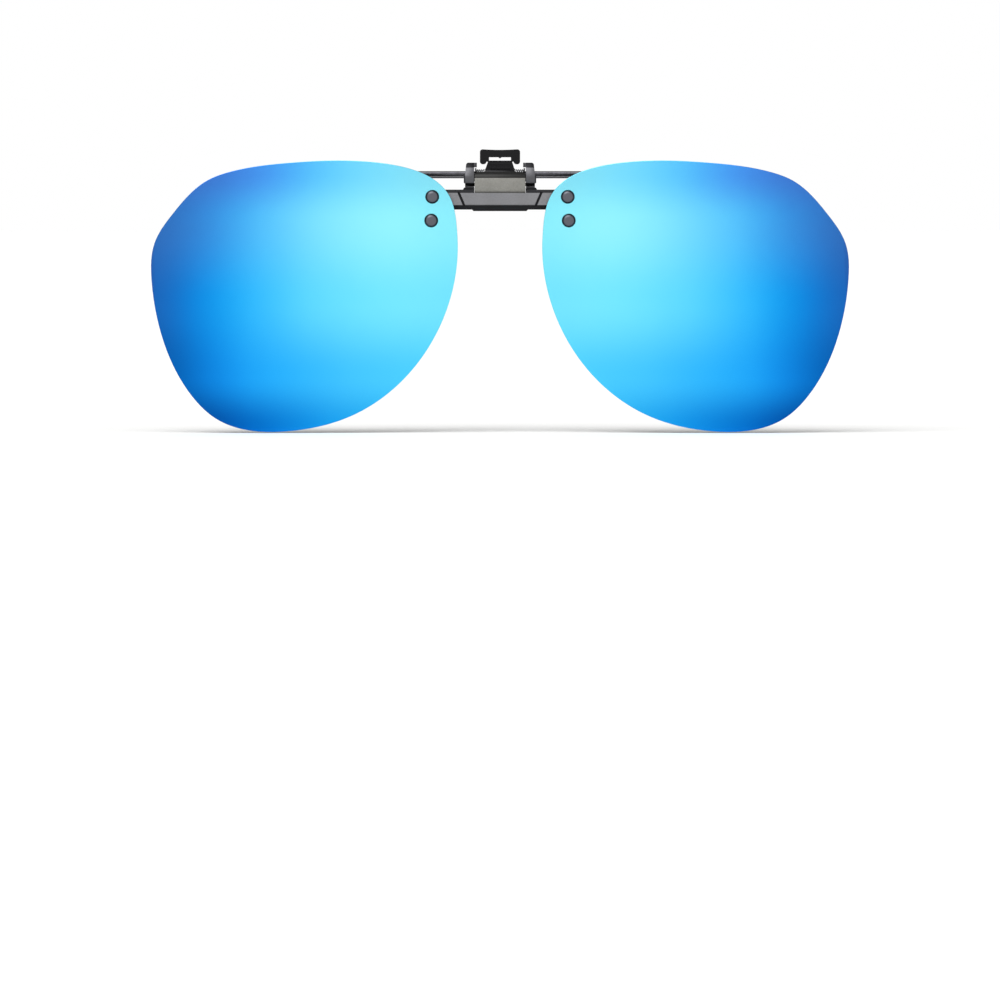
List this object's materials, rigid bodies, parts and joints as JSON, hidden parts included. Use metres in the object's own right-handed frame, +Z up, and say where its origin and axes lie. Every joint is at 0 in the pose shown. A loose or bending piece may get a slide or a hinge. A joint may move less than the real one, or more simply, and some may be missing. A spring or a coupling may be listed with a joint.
{
  "type": "clip on flip lenses",
  "caption": "Rimless mirrored sun lenses on a bridge bar that flips up from a sprung clip with rubber pads, which grips the front of a pair of spectacles.",
  "frame": {"origin": "middle of the grip, midway between the front and the rear rubber pads", "axes": "+X to the right as seen from in front, +Y rearward to the wearer, +Z up as worn"},
  "size_m": [0.1396, 0.0159, 0.0566],
  "materials": {
    "mirror_lens": "polarised plastic sheet with a blue mirror coating",
    "black_metal": "satin black coat on a zinc or steel pressing",
    "grey_cover": "satin gunmetal coat",
    "black_wire": "semi-gloss black coat on spring wire",
    "spring_steel": "bright spring steel",
    "black_rivet": "satin black domed head",
    "nylon": "moulded black nylon",
    "rubber_pad": "soft moulded rubber"
  },
  "bodies": {
    "clip": {"clip_frame": "black_metal", "front_jaw_wire": "black_wire", "front_pad_left": "rubber_pad", "front_pad_right": "rubber_pad", "hinge_pin": "spring_steel", "detent_leaf": "spring_steel", "leaf_rivets": "black_metal", "jaw_spring_left": "spring_steel", "jaw_spring_right": "spring_steel"},
    "flip_front": {"bridge_bar": "black_metal", "hinge_cover": "grey_cover", "cam_knuckle": "nylon", "lens_left": "mirror_lens", "lens_right": "mirror_lens", "lens_rivets": "black_rivet", "lens_washers": "nylon", "rivet_caps": "black_rivet"},
    "rear_jaw": {"thumb_lever": "black_metal", "rear_jaw_wire": "black_wire", "rear_pad_left": "rubber_pad", "rear_pad_right": "rubber_pad", "wire_clamp": "black_metal", "clamp_rivets": "black_rivet"}
  },
  "joints": [
    {"name": "lens_flip", "type": "hinge", "parent": "clip", "child": "flip_front", "pos_m": [0, -0.0078, 0.0124], "axis": [-1, 0, 0], "range_deg": [0, 90], "deforming": ["detent_leaf"]},
    {"name": "jaw_open", "type": "hinge", "parent": "clip", "child": "rear_jaw", "pos_m": [0, -0.004, 0.01345], "axis": [1, 0, 0], "range_deg": [0, 22], "stiffness_Nm_per_rad": 0.05, "springref_deg": -28.65, "deforming": ["jaw_spring_left", "jaw_spring_right"]}
  ]
}
